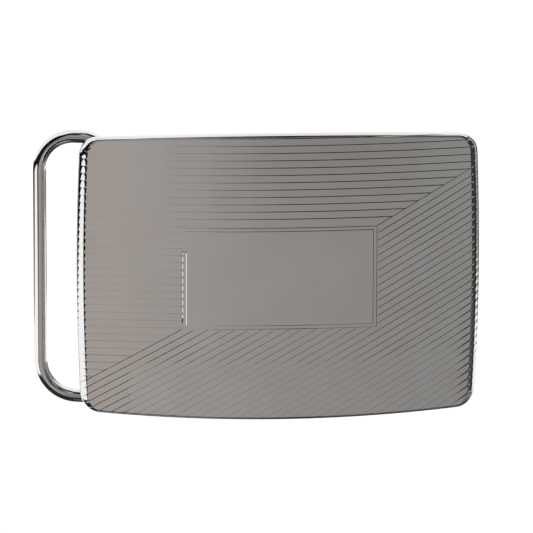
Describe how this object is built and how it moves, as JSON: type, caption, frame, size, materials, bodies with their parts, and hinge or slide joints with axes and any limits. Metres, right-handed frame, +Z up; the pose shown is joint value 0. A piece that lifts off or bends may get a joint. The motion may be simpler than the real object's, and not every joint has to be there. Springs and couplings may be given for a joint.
{
  "type": "belt buckle",
  "caption": "Bowed rectangular dress belt buckle with engraved lines around a blank cartouche, a wire bail on a hinge and a hook on the back.",
  "frame": {"origin": "middle of the back plate's rear surface, where the belt lies against the buckle", "axes": "+X along the belt towards the wearer's left, +Y from the face towards the wearer, +Z up"},
  "size_m": [0.0596, 0.01, 0.0392],
  "materials": {
    "polished_plate": "polished, with engraved lines",
    "polished_wire": "polished",
    "satin_back": "satin",
    "satin_fittings": "fine satin"
  },
  "bodies": {
    "plate": {"face_plate": "polished_plate", "back_plate": "satin_back", "hinge_leaf": "satin_fittings", "hinge_tube": "satin_fittings", "hinge_rivets": "satin_fittings", "hook_base": "satin_fittings", "hook_post": "polished_wire", "hook_rivets": "satin_fittings"},
    "bail": {"bail": "polished_wire"}
  },
  "joints": [
    {"name": "bail_swing", "type": "hinge", "parent": "plate", "child": "bail", "pos_m": [-0.0218, 0.00402, 0], "axis": [0, 0, -1], "range_deg": [-15, 178]}
  ]
}
